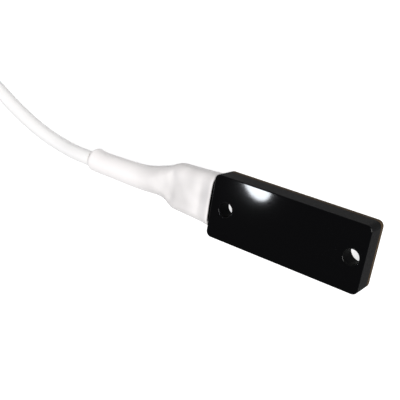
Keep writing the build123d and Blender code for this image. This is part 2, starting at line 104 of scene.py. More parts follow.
# Centre line of the lead from the sleeve to the hank, and from the hank to the end of the jacket
ROUTE = [
    (-0.0783, -0.0012, 0.00405),
    (-0.0855, -0.00136, 0.0040),
    (-0.0948, -0.0010, 0.00275),
    (-0.1045, 0.0006, 0.00262),
    (-0.1145, 0.0035, 0.00262),
    (-0.1250, 0.0076, 0.00262),
    (-0.1360, 0.0128, 0.00262),
    (-0.1472, 0.0174, 0.0027),
    (-0.1580, 0.0203, 0.00295),
    (-0.1690, 0.0209, 0.00305),
]
TAIL = [
    (-0.2140, -0.0156, 0.0030),
    (-0.2060, -0.0147, 0.0029),
    (-0.1985, -0.0123, 0.00275),
    (-0.1915, -0.0089, 0.00262),
    (-0.1850, -0.0058, 0.00262),
]
HANK_TURNS = 4
HANK_RUN = 48.6 * MM  # straight part of each turn
HANK_INNER_R = 15.6 * MM  # centre line of the inner turns at the ends
HANK_LOWER_Z = 3.0 * MM
HANK_STEPS = 8  # points along each run and around each end
CHANGE_LENGTH = 30 * MM  # over which a turn moves to the next place in the hank
DROP_START = 15 * MM  # from the start of the front run: where the third turn drops,
SHIFT_START = 35 * MM  # the second moves in
CLIMB_START = 47 * MM  # and the first climbs
TWIST_R = 0.8 * MM  # twisted ends of a tie
STRAND_R = 0.42 * MM
TWIST_TURNS = 3.5
TIES = ("front", "rear")
CORES = ("white", "brown", "green", "yellow")
WHITE = (1.0, 1.0, 1.0, 1.0)


def hex_colour(code):
    """An sRGB hex value as a linear colour with alpha."""
    parts = [int(code[i:i + 2], 16) / 255 for i in (0, 2, 4)]
    return (*[c / 12.92 if c <= 0.04045 else ((c + 0.055) / 1.055) ** 2.4 for c in parts], 1.0)


# ---- Settings ----------------------------------------------------------------------------------


def length(name, description, default):
    """A length that the user can change."""
    return bpy.props.FloatProperty(name=name, description=description, default=default, min=0.0,
                                   precision=5, unit="LENGTH", subtype="DISTANCE")


def colour(name, description, code):
    """A colour that the user can change."""
    return bpy.props.FloatVectorProperty(name=name, description=description, size=4, min=0.0, max=1.0,
                                         default=hex_colour(code), subtype="COLOR")


class ContactSizes(bpy.types.PropertyGroup):
    """Sizes of the pieces that are modelled here."""

    cable_d: length("Cable diameter", "Outside of the lead's jacket", 5.2 * MM)
    sleeve_wall: length("Sleeve wall", "Wall of the shrunk sleeve", 0.6 * MM)
    front_edge_r: length("Front edge", "Round along the front face", 0.4 * MM)
    seam_edge: length("Seam", "Bevel along the joint of housing and back cover", 0.15 * MM)
    cover_edge: length("Back edge", "Bevel along the mounting face", 0.3 * MM)
    hole_d: length("Screw hole", "Diameter of the screw holes", 4.5 * MM)
    hole_rim: length("Hole rim", "Round at the mouth of each screw hole", 0.3 * MM)
    tie_width: length("Tie width", "Width of the wire ties", 4.0 * MM)
    tie_thickness: length("Tie thickness", "Thickness of the wire ties", 0.4 * MM)


class ContactColours(bpy.types.PropertyGroup):
    """Colours of the finishes."""

    housing: colour("Housing", "Moulded black plastic of the housing", "060607")
    cover: colour("Back cover", "Dark brown plastic of the back cover", "4a3d2f")
    sleeve: colour("Sleeve", "White polyolefin of the sleeve", "f6f2f1")
    jacket: colour("Jacket", "White jacket of the lead", "f6f4f3")
    tie: colour("Ties", "Black plastic of the wire ties", "1a1a1b")
    resin: colour("Resin", "Cast resin in the housing and the neck", "0c0c0d")
    board: colour("Board", "Solder mask of the circuit board", "1c5a34")
    glass: colour("Reed glass", "Glass of the reed switch", "dff0e2")
    reed: colour("Reed metal", "Nickel-iron leads and blades", "bdb8ad")
    solder: colour("Solder", "Solder joints and end caps", "c3c3c1")
    tinned: colour("Tinned copper", "Bared conductors and pins", "cdc9c2")
    resistor: colour("Resistors", "Glazed bodies of the resistors", "131417")
    glue: colour("Lining", "Hot-melt lining of the sleeve", "e8dfc4")
    core_white: colour("White core", "Insulation of the white core", "efeeea")
    core_brown: colour("Brown core", "Insulation of the brown core", "6b4127")
    core_green: colour("Green core", "Insulation of the green core", "2a8a48")
    core_yellow: colour("Yellow core", "Insulation of the yellow core", "efce3a")
    collar: colour("Ferrule collars", "Nylon of the ferrule collars", "8f9296")
    backdrop: colour("Backdrop", "Studio floor and wall", "bcbcbc")


# ---- Helpers -----------------------------------------------------------------------------------


def add_node(tree, kind, inputs=None, **settings):
    """Adds a node, sets its properties, and gives its sockets a value or a link each."""
    made = tree.nodes.new(kind)
    for name, value in settings.items():
        setattr(made, name, value)
    for socket, value in (inputs or {}).items():
        if isinstance(value, bpy.types.NodeSocket):
            tree.links.new(value, made.inputs[socket])
        else:
            made.inputs[socket].default_value = value
    return made


def new_material(name, **shader):
    """A material with one Principled shader, its tree, and the shader node."""
    material = bpy.data.materials.new(name)
    material.use_nodes = True
    tree = material.node_tree
    tree.nodes.clear()
    surface = add_node(tree, "ShaderNodeBsdfPrincipled", {k.replace("_", " "): v for k, v in shader.items()})
    add_node(tree, "ShaderNodeOutputMaterial", {"Surface": surface.outputs["BSDF"]})
    return material, tree, surface


def finish_node(name, material):
    """Gives a node of the frame its material."""
    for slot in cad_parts[name].material_slots:
        slot.material = material


def deselect():
    """Nothing is selected, so that an operator acts only on what comes next."""
    if bpy.context.object and bpy.context.object.mode != "OBJECT":
        bpy.ops.object.mode_set(mode="OBJECT")
    bpy.ops.object.select_all(action="DESELECT")


def pick(piece):
    """Selects one piece alone and makes it the active one."""
    deselect()
    piece.select_set(True)
    bpy.context.view_layer.objects.active = piece


def settle(piece, body, slot, material, *stands_for):
    """Puts the piece's place in its mesh, gives it its material, ties it to its body and hides the nodes
    that it stands for. The slot is not used.
    """
    pick(piece)
    bpy.ops.object.transform_apply(location=True, rotation=True, scale=True)
    piece.data.materials.clear()
    piece.data.materials.append(material)
    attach(piece, body)
    if stands_for:
        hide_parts(*stands_for)


def block(low, high):
    """A box between two corners."""
    deselect()
    bpy.ops.mesh.primitive_cube_add(size=1, location=(Vector(low) + Vector(high)) / 2)
    piece = bpy.context.object
    piece.scale = Vector(high) - Vector(low)
    bpy.ops.object.transform_apply(location=True, rotation=True, scale=True)
    return piece


def round_edges(piece, test, radius, segments):
    """Rounds the edges whose two ends pass the test."""
    bpy.context.tool_settings.mesh_select_mode = (False, True, False)
    mesh = piece.data
    for items in (mesh.vertices, mesh.edges, mesh.polygons):
        for item in items:
            item.select = False
    for edge in mesh.edges:
        first, second = (mesh.vertices[i].co for i in edge.vertices)
        edge.select = test(first, second)
    bpy.ops.object.mode_set(mode="EDIT")
    bpy.ops.mesh.bevel(offset=radius, segments=segments, affect="EDGES")
    bpy.ops.object.mode_set(mode="OBJECT")


def slab(low, high, top_edge, bottom_edge):
    """A plate with rounded corners and rounded rims."""
    piece = block(low, high)
    round_edges(piece, lambda a, b: abs(a.z - b.z) > NEAR, CORNER_R, CORNER_STEPS)
    round_edges(piece, lambda a, b: min(a.z, b.z) > high[2] - NEAR, top_edge, TOP_EDGE_STEPS)
    round_edges(piece, lambda a, b: max(a.z, b.z) < low[2] + NEAR, bottom_edge, BOTTOM_EDGE_STEPS)
    return piece


def turned(x, profile):
    """A solid turned about an upright axis, from its steps of height and radius."""
    (height, radius), *steps = profile
    deselect()
    bpy.ops.mesh.primitive_circle_add(vertices=TURNED_STEPS, radius=radius, fill_type="NGON",
                                      location=(x, 0, height))
    piece = bpy.context.object
    bpy.ops.object.transform_apply(location=True, rotation=True, scale=True)
    bpy.ops.object.mode_set(mode="EDIT")
    bpy.ops.mesh.select_all(action="SELECT")
    for next_height, next_radius in steps:
        bpy.ops.mesh.extrude_region_move(TRANSFORM_OT_translate={"value": (0, 0, next_height - height)})
        grow = next_radius / radius
        bpy.ops.transform.resize(value=(grow, grow, 1), center_override=(x, 0, 0))
        height, radius = next_height, next_radius
    bpy.ops.mesh.select_all(action="SELECT")
    bpy.ops.mesh.normals_make_consistent(inside=False)
    bpy.ops.object.mode_set(mode="OBJECT")
    return piece


def combine(piece, other, operation):
    """Joins or cuts a piece with another one, which is used up."""
    change = piece.modifiers.new("combine", "BOOLEAN")
    change.object, change.operation, change.solver = other, operation, "EXACT"
    pick(piece)
    bpy.ops.object.modifier_apply(modifier=change.name)
    bpy.data.objects.remove(other, do_unlink=True)


def smooth(piece):
    """Smooth shading over rounded edges, with flat faces kept flat up to their rims."""
    pick(piece)
    bpy.ops.object.shade_smooth_by_angle(angle=math.radians(MOULDED_SMOOTH))
    even = piece.modifiers.new("even", "WEIGHTED_NORMAL")
    even.keep_sharp = True
    even.weight = 100  # the largest faces win
    bpy.ops.object.modifier_apply(modifier=even.name)


def ringed(name, start, end, rings):
    """An open tube along X, with the vertices of each ring in a list: (place, vertices)."""
    deselect()
    bpy.ops.mesh.primitive_circle_add(vertices=TUBE_STEPS, radius=TUBE_START_R, fill_type="NOTHING",
                                      location=(start, 0, 0), rotation=(0, math.pi / 2, 0))
    tube = bpy.context.object
    tube.name = name
    bpy.ops.object.transform_apply(location=True, rotation=True, scale=True)
    bpy.ops.object.mode_set(mode="EDIT")
    bpy.ops.mesh.select_all(action="SELECT")
    for _ in range(rings):
        bpy.ops.mesh.extrude_region_move(TRANSFORM_OT_translate={"value": ((end - start) / rings, 0, 0)})
    bpy.ops.object.mode_set(mode="OBJECT")
    by_ring = {}
    for vertex in tube.data.vertices:
        ring = round((vertex.co.x - start) / (end - start) * rings)
        by_ring.setdefault(ring, []).append(vertex)
    return tube, [(start + (end - start) * ring / rings, vertices) for ring, vertices in by_ring.items()]


def solidify(piece, thickness):
    """Gives a tube its wall, inwards, with the normals out."""
    pick(piece)
    bpy.ops.object.mode_set(mode="EDIT")
    bpy.ops.mesh.select_all(action="SELECT")
    bpy.ops.mesh.normals_make_consistent(inside=False)
    bpy.ops.object.mode_set(mode="OBJECT")
    wall = piece.modifiers.new("wall", "SOLIDIFY")
    wall.thickness, wall.offset = thickness, -1.0
    bpy.ops.object.modifier_apply(modifier=wall.name)


def ease(share):
    """0 to 1, starting and ending gently."""
    share = min(max(share, 0.0), 1.0)
    return share * share * (3 - 2 * share)


# ---- Finishes ----------------------------------------------------------------------------------

SIDE_ROUGHNESS = 0.5
FRONT_ROUGHNESS = 0.045
SIDE_SHINE = 0.011
FRONT_SHINE = 0.15
GRAIN_SIZE = 0.25 * MM
GRAIN_DEPTH = 0.05 * MM
GRAIN_STRENGTH = 0.25
GRAIN_DETAIL = 2.0
SINK_SIZE = 12 * MM
SINK_DEPTH = 0.3 * MM
SINK_STRENGTH = 0.05
SHADE_FADE_X = (-60 * MM, -44 * MM)  # between these the painted shade fades in; it is full from here to the housing
PATCH_SIZE = 7 * MM
PATCH_RANGE = (0.35, 0.65)  # of the noise, from the faintest patch of painted shade to the deepest
PATCH_SHADE = (0.16, 0.27)  # how much the painted shade darkens the sleeve's colour, least and most
SHEEN_RANGE = 0.1  # of a metal's roughness, up and down
WEAVE_SIZE = 3.1 * MM  # of the wave texture, whose bands then lie 1 mm apart


def place_on(tree):
    """The place on the piece."""
    return add_node(tree, "ShaderNodeTexCoord").outputs["Object"]


def noise(tree, place, size, detail):
    """Uneven patches of about a given size."""
    made = add_node(tree, "ShaderNodeTexNoise", {"Vector": place, "Scale": 1 / size, "Detail": detail})
    return made.outputs["Fac"]


def ranged(tree, value, low, high, start=0.0, end=1.0, steps="LINEAR"):
    """Goes from low to high while the value goes from start to end."""
    made = add_node(tree, "ShaderNodeMapRange", {
        "Value": value, "From Min": start, "From Max": end, "To Min": low, "To Max": high,
    }, interpolation_type=steps)
    return made.outputs["Result"]


def math_node(tree, operation, first, second):
    """The result of a sum on two values."""
    return add_node(tree, "ShaderNodeMath", {0: first, 1: second}, operation=operation).outputs["Value"]


def bump(tree, height, strength, depth, **under):
    """A normal that follows a height, on top of another normal if one is given."""
    made = add_node(tree, "ShaderNodeBump", {
        "Strength": strength, "Distance": depth, "Height": height, **under})
    return made.outputs["Normal"]


def roughen(tree, surface, size, detail, strength, depth):
    """Covers the piece with bumps of a given size and depth."""
    height = noise(tree, place_on(tree), size, detail)
    tree.links.new(bump(tree, height, strength, depth), surface.inputs["Normal"])


def polished_abs(colours, sizes):
    """Injection-moulded black ABS. The front of the tool is polished, so the face mirrors the lamps; the
    side walls come from a spark-eroded tool, so they are satin, with a grain of about 0.25 mm."""
    material, tree, surface = new_material("polished_and_satin_abs", Base_Color=colours.housing, IOR=1.5)
    place = place_on(tree)
    height = add_node(tree, "ShaderNodeSeparateXYZ", {"Vector": place}).outputs["Z"]
    on_front = ranged(tree, height, 0.0, 1.0, FRONT_Z - sizes.front_edge_r,
                      FRONT_Z - sizes.front_edge_r / 4, "SMOOTHSTEP")
    roughness = ranged(tree, on_front, SIDE_ROUGHNESS, FRONT_ROUGHNESS)
    tree.links.new(roughness, surface.inputs["Roughness"])
    shine = ranged(tree, on_front, SIDE_SHINE, FRONT_SHINE)
    tree.links.new(shine, surface.inputs["Specular IOR Level"])
    grain_strength = ranged(tree, on_front, GRAIN_STRENGTH, 0.0)
    grain = bump(tree, noise(tree, place, GRAIN_SIZE, GRAIN_DETAIL), grain_strength, GRAIN_DEPTH)
    # the polished face is not quite flat: it has wide shallow sinks
    sinks = bump(tree, noise(tree, place, SINK_SIZE, detail=0.0), SINK_STRENGTH, SINK_DEPTH, Normal=grain)
    tree.links.new(sinks, surface.inputs["Normal"])
    return material


def satin(name, base, roughness, grain=GRAIN_SIZE, specular=0.3):
    """A satin finish with a fine even grain, as a spark-eroded tool gives it."""
    material, tree, surface = new_material(name, Base_Color=base, Roughness=roughness, IOR=1.5,
                                           Specular_IOR_Level=specular)
    roughen(tree, surface, grain, GRAIN_DETAIL, GRAIN_STRENGTH, GRAIN_DEPTH)
    return material


def shrunk_polyolefin(colours):
    """Heat-shrink tubing of cross-linked polyolefin, white, lightly glossy after shrinking, with painted
    shade in soft patches over the neck.
    """
    material, tree, surface = new_material("shrunk_white_polyolefin", Roughness=0.42, IOR=1.49)
    place = place_on(tree)
    # painted shade: the colour is darkened in soft patches over the neck, in place of the shading of the
    # drawn-in sleeve
    along = add_node(tree, "ShaderNodeSeparateXYZ", {"Vector": place}).outputs["X"]
    shade_fade = ranged(tree, along, 0.0, 1.0, *SHADE_FADE_X, "SMOOTHSTEP")
    patches = ranged(tree, noise(tree, place, PATCH_SIZE, detail=1.0), *PATCH_SHADE, *PATCH_RANGE)
    painted_shade = math_node(tree, "MULTIPLY", shade_fade, patches)
    unshaded_share = math_node(tree, "SUBTRACT", 1.0, painted_shade)
    # the sleeve's colour with the painted shade taken off
    shade = add_node(tree, "ShaderNodeVectorMath", {
        0: tuple(colours.sleeve)[:3], "Scale": unshaded_share}, operation="SCALE")
    tree.links.new(shade.outputs["Vector"], surface.inputs["Base Color"])
    roughen(tree, surface, size=3 * MM, detail=3.0, strength=0.3, depth=0.1 * MM)
    return material


def extruded_pvc(name, base, roughness=0.4):
    """Soft PVC, extruded over the cores: a smooth skin with faint ripples along and across."""
    material, tree, surface = new_material(name, Base_Color=base, Roughness=roughness, IOR=1.53)
    roughen(tree, surface, size=2.5 * MM, detail=2.0, strength=0.2, depth=0.05 * MM)
    return material


def cast_resin(colours):
    """Black epoxy, poured and cured: glossy, with a faint skin from shrinking."""
    material, tree, surface = new_material("cast_black_epoxy", Base_Color=colours.resin, Roughness=0.22,
                                           IOR=1.55)
    roughen(tree, surface, size=4 * MM, detail=1.0, strength=0.3, depth=0.1 * MM)
    return material


def masked_laminate(colours):
    """Glass-fibre laminate under green solder mask. The weave shows faintly, its threads 1 mm apart."""
    material, tree, surface = new_material("green_masked_laminate", Base_Color=colours.board, Roughness=0.35,
                                           IOR=1.5)
    weave = add_node(tree, "ShaderNodeTexWave", {
        "Vector": place_on(tree), "Scale": 1 / WEAVE_SIZE, "Distortion": 0.3}, bands_direction="Y")
    threads = bump(tree, weave.outputs["Fac"], strength=0.15, depth=0.02 * MM)
    tree.links.new(threads, surface.inputs["Normal"])
    return material


def drawn_glass(colours):
    """Green-tinted soft glass, drawn as a tube and sealed by heat at both ends."""
    material, tree, surface = new_material("drawn_green_glass", Base_Color=colours.glass, Roughness=0.02,
                                           IOR=1.52, Transmission_Weight=1.0)
    roughen(tree, surface, size=3 * MM, detail=1.0, strength=0.05, depth=0.05 * MM)
    return material


def bare_metal(name, base, roughness, grain):
    """Bare metal with a fine uneven sheen from drawing, plating or melting."""
    material, tree, surface = new_material(name, Base_Color=base, Metallic=1.0)
    uneven = noise(tree, place_on(tree), grain, detail=3.0)
    sheen = ranged(tree, uneven, roughness - SHEEN_RANGE, roughness + SHEEN_RANGE)
    tree.links.new(sheen, surface.inputs["Roughness"])
    return material


def hot_melt(colours):
    """Adhesive lining, melted by the heat gun: waxy and half clear."""
    material, tree, surface = new_material("hot_melt_lining", Base_Color=colours.glue, Roughness=0.45,
                                           IOR=1.48, Transmission_Weight=0.4)
    roughen(tree, surface, size=2 * MM, detail=1.0, strength=0.3, depth=0.1 * MM)
    return material


# ---- Pieces ------------------------------------------------------------------------------------


def neck():
    """The tapered tube that carries the sleeve, from inside the end wall to its mouth."""
    start = LEAD_END_X + SIDE_WALL / 2
    tube, rings = ringed("neck", start, NECK_MOUTH_X, NECK_RINGS)
    for x, vertices in rings:
        share = (LEAD_END_X - x) / (LEAD_END_X - NECK_MOUTH_X)
        width = NECK_WIDTHS[0] + share * (NECK_WIDTHS[1] - NECK_WIDTHS[0])
        for vertex in vertices:
            around = math.atan2(vertex.co.z, vertex.co.y) / (2 * math.pi)
            out = outline_point(width, NECK_HEIGHT, NECK_R, around)
            vertex.co = (x, NECK_Y + out[0], MID_Z + out[1])
    solidify(tube, NECK_WALL)
    return tube


def hollow(housing, low, high):
    """Cuts the room inside, open at the seam."""
    wall = Vector((SIDE_WALL, SIDE_WALL, 0))
    room = block(low + wall - Vector((0, 0, MM)), high - wall - Vector((0, 0, FRONT_WALL)))
    combine(housing, room, "DIFFERENCE")


def add_bosses(housing, end_walls):
    """Adds a screw boss around each hole, with a web that ties it to its end wall."""
    top = FRONT_Z - FRONT_WALL / 2
    for hole_x, end_x in zip(HOLES_X, end_walls):
        combine(housing, turned(hole_x, [(SEAM_Z, BOSS_R), (top, BOSS_R)]), "UNION")
        web = block((min(hole_x, end_x), -BOSS_RIB / 2, SEAM_Z), (max(hole_x, end_x), BOSS_RIB / 2, top))
        combine(housing, web, "UNION")


def cut_slots(housing, wall_x):
    """Cuts the two slots for the cores through the end wall."""
    for side in (-1, 1):
        middle = Vector((wall_x, side * SLOT_Y, MID_Z))
        reach = Vector((SIDE_WALL, SLOT_WIDTH / 2, SLOT_HEIGHT / 2))
        combine(housing, block(middle - reach, middle + reach), "DIFFERENCE")


def bore_profile(bore_r, rim):
    """Steps of the cutter for a bore, which widens at its back end and has a round rim in front."""
    profile = [(SEAM_Z - BORE_LEAD, bore_r + 2 * BORE_LEAD), (SEAM_Z + BORE_LEAD, bore_r)]
    for i in range(RIM_STEPS + 1):
        angle = math.pi / 2 * i / RIM_STEPS
        profile.append((FRONT_Z - rim + (rim + PAST_FACE) * math.sin(angle),
                        bore_r + rim * (1 - math.cos(angle))))
    profile.append((FRONT_Z + MM, bore_r + rim))
    return profile


class CONTACT_OT_housing(bpy.types.Operator):
    """Mould the housing, with its screw bosses and its neck"""

    bl_idname = "contact.housing"
    bl_label = "Housing"

    def execute(self, context):
        colours, sizes = context.scene.contact_colours, context.scene.contact_sizes
        low = Vector((COVER_LOW.x, COVER_LOW.y, SEAM_Z))
        high = Vector((COVER_HIGH.x, COVER_HIGH.y, FRONT_Z))
        housing = slab(low, high, sizes.front_edge_r, sizes.seam_edge)
        housing.name = "housing_skin"
        hollow(housing, low, high)
        combine(housing, neck(), "UNION")
        end_walls = (low.x + SIDE_WALL / 2, high.x - SIDE_WALL / 2)
        add_bosses(housing, end_walls)
        cut_slots(housing, end_walls[0])
        profile = bore_profile(sizes.hole_d / 2, sizes.hole_rim)
        for hole_x in HOLES_X:
            combine(housing, turned(hole_x, profile), "DIFFERENCE")
        smooth(housing)
        settle(housing, "sensor", "housing_black", polished_abs(colours, sizes), "housing")
        return {"FINISHED"}


class CONTACT_OT_cover(bpy.types.Operator):
    """Mould the back cover, with its two screw openings"""

    bl_idname = "contact.cover"
    bl_label = "Back cover"

    def execute(self, context):
        colours, sizes = context.scene.contact_colours, context.scene.contact_sizes
        cover = slab(COVER_LOW, COVER_HIGH, sizes.seam_edge, sizes.cover_edge)
        cover.name = "back_cover_skin"
        for hole_x, mouth_r in zip(HOLES_X, COVER_MOUTHS_R):
            slope = (mouth_r - COVER_HOLE_R) / SEAM_Z
            profile = [(-MM, mouth_r + slope * MM), (SEAM_Z + MM, COVER_HOLE_R - slope * MM)]
            combine(cover, turned(hole_x, profile), "DIFFERENCE")
        smooth(cover)
        finish = satin("satin_abs_cover", colours.cover, roughness=0.55, specular=0.008)
        settle(cover, "sensor", "cover_black", finish, "back_cover")
        return {"FINISHED"}


# Sections of the shrunk sleeve, from its cut end at the housing to its small end: place along the lead,
# centre across and up, width, height and corner radius, all in millimetres
SLEEVE_SECTIONS = [
    (-25.6, 0.66, 4.10, 16.6, 7.7, 2.9),
    (-28.0, 0.68, 4.10, 16.3, 7.5, 2.9),
    (-35.0, 0.70, 4.10, 15.5, 7.5, 2.9),
    (-40.4, 0.72, 4.10, 14.9, 7.5, 2.9),
    (-41.6, 0.80, 4.10, 14.0, 7.4, 2.9),
    (-43.5, 0.80, 4.10, 11.9, 7.4, 3.2),
    (-46.5, 0.55, 4.12, 10.2, 7.6, 3.6),
    (-50.0, -0.10, 4.18, 9.3, 8.0, 3.95),
    (-55.0, -0.75, 4.21, 8.5, 8.25, 4.12),
    (-60.0, -0.98, 4.19, 8.1, 8.15, 4.05),
    (-67.0, -1.05, 4.14, 7.7, 8.05, 3.85),
    (-73.0, -1.10, 4.09, 7.6, 8.0, 3.80),
    (-75.6, -0.98, 4.07, 7.9, 8.05, 3.95),
    (-76.8, -0.86, 4.06, 8.1, 8.05, 4.02),
    (-77.7, -1.02, 4.05, 7.3, 7.3, 3.65),
    (-78.3, -1.20, 4.05, 6.5, 6.5, 3.25),
]
# Dents where the sleeve has drawn in over the neck: place along and across, depth, which is negative for a
# ridge, reach along and across, all in millimetres, and the turn of the two reaches in degrees
SLEEVE_DENTS = [
    (-40.9, 4.6, 0.46, 1.5, 2.2, 10),
    (-40.9, -2.6, 0.50, 1.5, 2.4, -12),
    (-43.4, 0.8, 0.12, 1.4, 2.0, 20),
    (-26.3, 0.7, -0.52, 1.5, 9.0, 0),
    (-29.8, 0.0, 0.26, 1.3, 7.5, 0),
    (-36.0, -3.4, 0.10, 5.0, 1.4, 0),
]
SLEEVE_RING = 0.5  # spacing of the rings, in millimetres
UNDERSIDE_DENTS = 0.5  # depth of the dents on the underside, as a share of those on top
CUT_EDGE = 0.08 * MM  # bevel along the cut ends
CUT_EDGE_STEPS = 2
CUT_EDGE_ANGLE = 50  # edges sharper than this are bevelled, in degrees
SLEEVE_SMOOTH = 40  # angle in degrees up to which the sleeve is shaded smooth
LEAST_FLAT = 1e-4  # half of the shortest flat on each side of an outline, in the outline's own unit


def between(sections, x):
    """The section at a place along the sleeve, on a smooth curve through the given sections."""
    places = [s[0] for s in sections]
    last = len(sections) - 1
    i = next((k for k in range(last) if places[k] >= x >= places[k + 1]), 0 if x > places[0] else last - 1)
    span = places[i + 1] - places[i]
    t = (x - places[i]) / span

    def slope(k, value):
        """Slope at a section, none where the value turns."""
        if k in (0, last):
            near = 1 if k == 0 else last - 1
            return (sections[near][value] - sections[k][value]) / (places[near] - places[k])
        before = (sections[k][value] - sections[k - 1][value]) / (places[k] - places[k - 1])
        after = (sections[k + 1][value] - sections[k][value]) / (places[k + 1] - places[k])
        if before * after <= 0:
            return 0.0
        return 2 * before * after / (before + after)

    made = []
    for value in range(1, len(sections[0])):
        a, b = sections[i][value], sections[i + 1][value]
        m, n = slope(i, value) * span, slope(i + 1, value) * span
        made.append((2 * t**3 - 3 * t**2 + 1) * a + (t**3 - 2 * t**2 + t) * m
                    + (3 * t**2 - 2 * t**3) * b + (t**3 - t**2) * n)
    return made


def outline_point(width, height, radius, share):
    """A point on a rounded rectangle and its outward direction, a share of the way round from +Y."""
    radius = min(radius, width / 2 - LEAST_FLAT, height / 2 - LEAST_FLAT)
    flat_y, flat_z, arc = width / 2 - radius, height / 2 - radius, math.pi * radius / 2
    quarter = flat_z + arc + flat_y
    place = (share % 1.0) * 4
    index, travelled = int(place), (place % 1.0) * quarter
    if index % 2:
        travelled = quarter - travelled
    if travelled <= flat_z:
        y, z, out_y, out_z = width / 2, travelled, 1.0, 0.0
    elif travelled <= flat_z + arc:
        angle = (travelled - flat_z) / radius
        out_y, out_z = math.cos(angle), math.sin(angle)
        y, z = flat_y + radius * out_y, flat_z + radius * out_z
    else:
        y, z, out_y, out_z = flat_y - (travelled - flat_z - arc), height / 2, 0.0, 1.0
    turn_y = -1 if index in (1, 2) else 1
    turn_z = -1 if index in (2, 3) else 1
    return y * turn_y, z * turn_z, out_y * turn_y, out_z * turn_z


def dent_depth(x, y):
    """How far the top of the sleeve has drawn in at a place."""
    depth = 0.0
    for along, across, deep, reach_along, reach_across, heading in SLEEVE_DENTS:
        turn = math.radians(heading)
        u = (x - along) * math.cos(turn) + (y - across) * math.sin(turn)
        v = (y - across) * math.cos(turn) - (x - along) * math.sin(turn)
        depth += deep * math.exp(-(u / reach_along) ** 2 - (v / reach_across) ** 2)
    return depth


def draw_in(x, vertices):
    """Moves one ring of the sleeve onto its section, drawn in where it has dents."""
    y, z, width, height, radius = between(SLEEVE_SECTIONS, x)
    for vertex in vertices:
        share = math.atan2(vertex.co.z, vertex.co.y) / (2 * math.pi)
        out = outline_point(width, height, radius, share)
        upper = max(out[3], 0.0)
        lower = max(-out[3], 0.0) * UNDERSIDE_DENTS
        depth = dent_depth(x, y + out[0]) * upper + dent_depth(x, y - out[0]) * lower
        vertex.co = (x * MM, (y + out[0] - out[2] * depth) * MM, (z + out[1] - out[3] * depth) * MM)


class CONTACT_OT_sleeve(bpy.types.Operator):
    """Shrink the sleeve over the neck and the start of the lead"""

    bl_idname = "contact.sleeve"
    bl_label = "Heat-shrink sleeve"

    def execute(self, context):
        colours, sizes = context.scene.contact_colours, context.scene.contact_sizes
        start, end = SLEEVE_SECTIONS[0][0], SLEEVE_SECTIONS[-1][0]
        sleeve, rings = ringed("heat_shrink_sleeve_skin", start * MM, end * MM,
                               round((start - end) / SLEEVE_RING))
        for place, vertices in rings:
            draw_in(place / MM, vertices)
        solidify(sleeve, sizes.sleeve_wall)
        edge = sleeve.modifiers.new("cut_edges", "BEVEL")
        edge.width, edge.segments = CUT_EDGE, CUT_EDGE_STEPS
        edge.limit_method, edge.angle_limit = "ANGLE", math.radians(CUT_EDGE_ANGLE)
        bpy.ops.object.modifier_apply(modifier=edge.name)
        bpy.ops.object.shade_smooth_by_angle(angle=math.radians(SLEEVE_SMOOTH))
        settle(sleeve, "sensor", "sleeve_white", shrunk_polyolefin(colours), "heat_shrink_sleeve")
        return {"FINISHED"}


def hank_points(cable_d):
    """Centre line of the hank's turns: two lanes wide and two levels high, anticlockwise from above.

    The first turn lies outside and below, the second outside and above, the third inside and above, and
    the fourth inside and below. Each moves to the next place on the front run and the near end.
    """
    step = math.pi / HANK_STEPS
    points = []
    for turn in range(HANK_TURNS):
        stations = []  # along the axis, share of the lane's radius across, and distance along the turn
        for i in range(HANK_STEPS - 1):
            stations.append((HANK_RUN * (0.5 - i / (HANK_STEPS - 2)), 1.0, None, 0.0))
        for i in range(1, HANK_STEPS):
            stations.append((-HANK_RUN / 2, 1.0, math.pi / 2 + i * step, 0.0))
        for i in range(HANK_STEPS - 1):
            along = HANK_RUN * i / (HANK_STEPS - 2)
            stations.append((along - HANK_RUN / 2, -1.0, None, along))
        for i in range(1, HANK_STEPS):
            around = HANK_RUN + (HANK_INNER_R + cable_d / 2) * i * step
            stations.append((HANK_RUN / 2, 1.0, i * step - math.pi / 2, around))
        if turn == 0:
            stations = stations[1:]  # the route comes in past the first one
        if turn == HANK_TURNS - 1:
            stations = stations[:2 * HANK_STEPS - 2]  # the tail leaves where the front run starts
        for x, side, angle, travelled in stations:
            moved_in = 1.0 if turn > 1 else 0.0
            raised = 1.0 if turn in (1, 2) else 0.0
            if turn == 0:
                raised = ease((travelled - CLIMB_START) / CHANGE_LENGTH)
            elif turn == 1:
                moved_in = ease((travelled - SHIFT_START) / CHANGE_LENGTH)
            elif turn == 2:
                raised = 1.0 - ease((travelled - DROP_START) / CHANGE_LENGTH)
            radius = HANK_INNER_R + cable_d * (1.0 - moved_in)
            height = HANK_LOWER_Z + cable_d * raised
            if angle is None:
                points.append((HANK_X + x, side * radius, height))
            else:
                reach = radius / math.cos(step / 2)  # the curve passes inside its points
                points.append((HANK_X + x + reach * math.cos(angle), reach * math.sin(angle), height))
    return points


STRAND_RESOLUTION = 4  # of the round section
CABLE_RESOLUTION = 8
CABLE_ORDER = 3
CABLE_STEPS = 6  # from one point of the lead to the next
TWIST_STEPS = 60
BAND_CORNER_STEPS = 8
TIE_SMOOTH = 50  # angle in degrees up to which a tie is shaded smooth
# Section of a tie's ribbon in shares of its width and thickness: thin edges, and a rib over the wire
RIBBON = [
    (0.5, 0.0),
    (0.46, 0.3),
    (0.16, 0.32),
    (0.08, 0.5),
    (-0.08, 0.5),
    (-0.16, 0.32),
    (-0.46, 0.3),
    (-0.5, 0.0),
    (-0.46, -0.4),
    (0.46, -0.4),
]


def curve_along(name, kind, points):
    """A curve with one spline along the points: its object and the spline."""
    line = bpy.data.curves.new(name, "CURVE")
    line.dimensions = "3D"
    spline = line.splines.new(kind)
    spline.points.add(len(points) - 1)
    for point, place in zip(spline.points, points):
        point.co = (*place, 1.0)
    made = bpy.data.objects.new(name, line)
    bpy.context.scene.collection.objects.link(made)
    return made, spline


